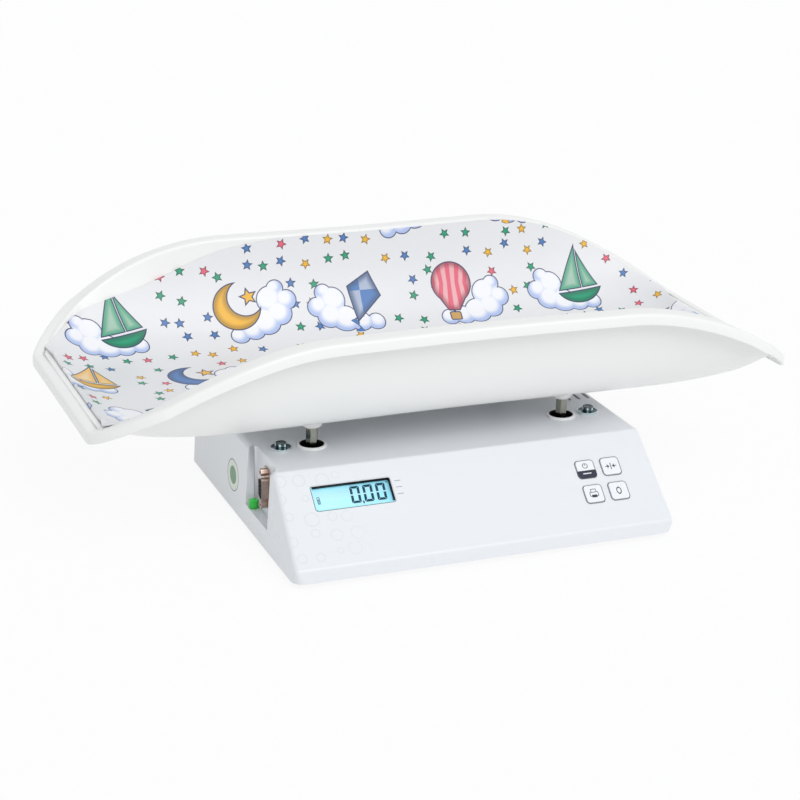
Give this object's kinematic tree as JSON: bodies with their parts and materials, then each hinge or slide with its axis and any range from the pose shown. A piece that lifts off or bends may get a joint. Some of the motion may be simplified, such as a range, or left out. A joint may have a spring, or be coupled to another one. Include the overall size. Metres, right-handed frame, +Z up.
{
  "type": "baby weighing scale",
  "caption": "Digital baby weighing scale: curved tray with soft mat on four posts over a low housing with sloped display and key panel.",
  "frame": {"origin": "middle of the object's footprint box, on the surface that the feet rest on", "axes": "+X along the tray to the user's right, +Y to the back, +Z up; the display panel faces -Y"},
  "size_m": [0.547, 0.3048, 0.1717],
  "materials": {
    "housing_white": "glossy moulded white",
    "tray_white": "satin moulded warm white",
    "zinc_steel": "zinc plated",
    "foot_rubber": "matt black",
    "brass_insert": "turned",
    "blue_zinc_bolt": "blue passivated zinc",
    "grommet_white": "smooth",
    "black_plastic": "fine grain",
    "display_window": "clear",
    "lcd_cyan": "backlit cyan",
    "circuit_board": "green solder resist",
    "key_white": "satin moulded white",
    "cell_wrap": "shrink wrap",
    "connector_metal": "nickel plated",
    "level_clear": "clear acrylic",
    "level_green": "dyed fluid",
    "cell_aluminium": "machined",
    "dark_bolt": "black oxide",
    "post_steel": "nickel plated hexagon bar",
    "mat_print": "printed soft vinyl"
  },
  "bodies": {
    "base": {"base_cover": "housing_white", "base_plate": "zinc_steel", "foot_inserts": "brass_insert", "case_screws": "zinc_steel", "cover_pillars": "zinc_steel", "pillar_screws": "zinc_steel", "cover_bolts": "blue_zinc_bolt", "cover_washers": "blue_zinc_bolt", "post_grommets": "grommet_white", "display_bezel": "black_plastic", "display_window": "display_window", "lcd_glass": "lcd_cyan", "lcd_backlight": "lcd_cyan", "display_board": "circuit_board", "keypad_board": "circuit_board", "key_switches": "black_plastic", "panel_board_screws": "zinc_steel", "main_board": "circuit_board", "board_parts": "black_plastic", "board_standoffs": "zinc_steel", "battery_holder": "black_plastic", "battery_cells": "cell_wrap", "connector_shell": "connector_metal", "connector_insert": "black_plastic", "connector_jack_screws": "connector_metal", "level_case": "level_clear", "level_fluid": "level_green", "power_inlet": "black_plastic", "inlet_pin": "zinc_steel", "load_cell": "cell_aluminium", "cell_lower_spacer": "zinc_steel", "cell_lower_screws": "dark_bolt", "overload_stops": "zinc_steel"},
    "platform": {"cell_upper_spacer": "zinc_steel", "cell_upper_bolts": "dark_bolt", "spider": "cell_aluminium", "platform_posts": "post_steel", "post_nuts": "zinc_steel", "tray": "tray_white", "tray_screws": "zinc_steel", "mat": "mat_print"},
    "key_power_cap": {"key_power": "key_white"},
    "key_tare_cap": {"key_tare": "key_white"},
    "key_print_cap": {"key_print": "key_white"},
    "key_zero_cap": {"key_zero": "key_white"},
    "foot_front_left": {"foot_stud_front_left": "zinc_steel", "foot_pad_front_left": "foot_rubber"},
    "foot_front_right": {"foot_stud_front_right": "zinc_steel", "foot_pad_front_right": "foot_rubber"},
    "foot_back_left": {"foot_stud_back_left": "zinc_steel", "foot_pad_back_left": "foot_rubber"},
    "foot_back_right": {"foot_stud_back_right": "zinc_steel", "foot_pad_back_right": "foot_rubber"}
  },
  "joints": [
    {"name": "platform_travel", "type": "slide", "parent": "base", "child": "platform", "axis": [0, 0, -1], "range_m": [0, 0.0006], "stiffness_N_per_m": 400000, "springref_m": -0.00006, "deforming": ["load_cell"]},
    {"name": "key_power_press", "type": "slide", "parent": "base", "child": "key_power_cap", "axis": [0, 0.6645, -0.7473], "range_m": [0, 0.0005], "stiffness_N_per_m": 3000, "springref_m": -0.0001},
    {"name": "key_tare_press", "type": "slide", "parent": "base", "child": "key_tare_cap", "axis": [0, 0.6645, -0.7473], "range_m": [0, 0.0005], "stiffness_N_per_m": 3000, "springref_m": -0.0001},
    {"name": "key_print_press", "type": "slide", "parent": "base", "child": "key_print_cap", "axis": [0, 0.6645, -0.7473], "range_m": [0, 0.0005], "stiffness_N_per_m": 3000, "springref_m": -0.0001},
    {"name": "key_zero_press", "type": "slide", "parent": "base", "child": "key_zero_cap", "axis": [0, 0.6645, -0.7473], "range_m": [0, 0.0005], "stiffness_N_per_m": 3000, "springref_m": -0.0001},
    {"name": "foot_front_left_screw", "type": "slide", "parent": "base", "child": "foot_front_left", "axis": [0, 0, -1], "range_m": [0, 0.005]},
    {"name": "foot_front_right_screw", "type": "slide", "parent": "base", "child": "foot_front_right", "axis": [0, 0, -1], "range_m": [0, 0.005]},
    {"name": "foot_back_left_screw", "type": "slide", "parent": "base", "child": "foot_back_left", "axis": [0, 0, -1], "range_m": [0, 0.005]},
    {"name": "foot_back_right_screw", "type": "slide", "parent": "base", "child": "foot_back_right", "axis": [0, 0, -1], "range_m": [0, 0.005]}
  ]
}
